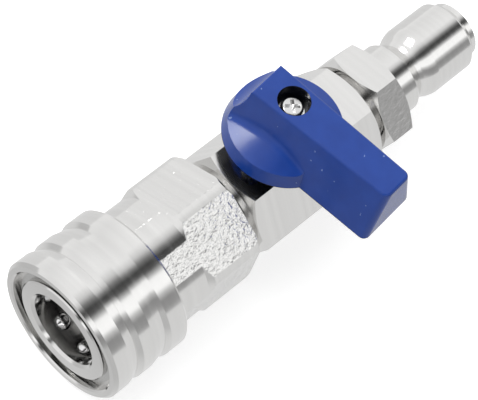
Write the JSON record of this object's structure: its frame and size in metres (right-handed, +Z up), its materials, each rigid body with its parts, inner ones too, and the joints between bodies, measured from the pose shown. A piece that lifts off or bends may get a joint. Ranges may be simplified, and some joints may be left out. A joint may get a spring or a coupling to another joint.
{
  "type": "pressure washer quick coupler",
  "caption": "Quick-connect socket with a grooved lock sleeve, a hexagonal ball valve with a blue lever handle, and a quick plug at the far end.",
  "frame": {"origin": "on the pipe axis, where the chamfer of the socket's mouth ends and its bore begins", "axes": "+X along the pipe from the socket's mouth to the plug's tip, +Z up the valve's stem to the handle, handle shut across the pipe towards -Y"},
  "size_m": [0.1166, 0.045, 0.045],
  "materials": {
    "nickel_steel": "bright nickel-plated turned steel",
    "spring_steel": "plain spring steel",
    "zinc_steel": "zinc-plated steel",
    "ball_chrome": "polished",
    "seal_rubber": "black rubber",
    "seat_plastic": "white fluoroplastic",
    "blue_paint": "glossy deep blue paint"
  },
  "bodies": {
    "fitting": {"socket_body": "nickel_steel", "snap_ring": "spring_steel", "sleeve_spring": "spring_steel", "plug_seal": "seal_rubber", "valve_body": "nickel_steel", "front_seat": "seat_plastic", "rear_seat": "seat_plastic", "front_seat_seal": "seal_rubber", "rear_seat_seal": "seal_rubber", "seat_retainer": "nickel_steel", "stem_washer": "seat_plastic", "stem_seal": "seal_rubber", "stop_pin": "spring_steel", "quick_plug": "nickel_steel"},
    "lever": {"handle": "blue_paint", "handle_screw": "zinc_steel", "lock_washer": "zinc_steel", "stem": "nickel_steel", "valve_ball": "ball_chrome"},
    "sleeve": {"lock_sleeve": "nickel_steel"},
    "locking_ball_1": {"locking_ball_1": "ball_chrome"},
    "locking_ball_2": {"locking_ball_2": "ball_chrome"},
    "locking_ball_3": {"locking_ball_3": "ball_chrome"},
    "locking_ball_4": {"locking_ball_4": "ball_chrome"},
    "locking_ball_5": {"locking_ball_5": "ball_chrome"},
    "locking_ball_6": {"locking_ball_6": "ball_chrome"},
    "locking_ball_7": {"locking_ball_7": "ball_chrome"},
    "locking_ball_8": {"locking_ball_8": "ball_chrome"}
  },
  "joints": [
    {"name": "lever_turn", "type": "hinge", "parent": "fitting", "child": "lever", "pos_m": [0.0587, 0, 0], "axis": [0, 0, 1], "range_deg": [-5.7, 84.3]},
    {"name": "sleeve_slide", "type": "slide", "parent": "fitting", "child": "sleeve", "axis": [1, 0, 0], "range_m": [0, 0.0033], "stiffness_N_per_m": 4000, "springref_m": -0.004, "deforming": ["sleeve_spring"]},
    {"name": "ball_1_slide", "type": "slide", "parent": "fitting", "child": "locking_ball_1", "axis": [0, 0.3256, 0.9455], "range_m": [0, 0.0007]},
    {"name": "ball_2_slide", "type": "slide", "parent": "fitting", "child": "locking_ball_2", "axis": [0, -0.4384, 0.8988], "range_m": [0, 0.0007]},
    {"name": "ball_3_slide", "type": "slide", "parent": "fitting", "child": "locking_ball_3", "axis": [0, -0.9455, 0.3256], "range_m": [0, 0.0007]},
    {"name": "ball_4_slide", "type": "slide", "parent": "fitting", "child": "locking_ball_4", "axis": [0, -0.8988, -0.4384], "range_m": [0, 0.0007]},
    {"name": "ball_5_slide", "type": "slide", "parent": "fitting", "child": "locking_ball_5", "axis": [0, -0.3256, -0.9455], "range_m": [0, 0.0007]},
    {"name": "ball_6_slide", "type": "slide", "parent": "fitting", "child": "locking_ball_6", "axis": [0, 0.4384, -0.8988], "range_m": [0, 0.0007]},
    {"name": "ball_7_slide", "type": "slide", "parent": "fitting", "child": "locking_ball_7", "axis": [0, 0.9455, -0.3256], "range_m": [0, 0.0007]},
    {"name": "ball_8_slide", "type": "slide", "parent": "fitting", "child": "locking_ball_8", "axis": [0, 0.8988, 0.4384], "range_m": [0, 0.0007]}
  ],
  "couplings": [
    {"joint": "ball_1_slide", "follows": "sleeve_slide", "ratio": 0.21212},
    {"joint": "ball_2_slide", "follows": "sleeve_slide", "ratio": 0.21212},
    {"joint": "ball_3_slide", "follows": "sleeve_slide", "ratio": 0.21212},
    {"joint": "ball_4_slide", "follows": "sleeve_slide", "ratio": 0.21212},
    {"joint": "ball_5_slide", "follows": "sleeve_slide", "ratio": 0.21212},
    {"joint": "ball_6_slide", "follows": "sleeve_slide", "ratio": 0.21212},
    {"joint": "ball_7_slide", "follows": "sleeve_slide", "ratio": 0.21212},
    {"joint": "ball_8_slide", "follows": "sleeve_slide", "ratio": 0.21212}
  ]
}
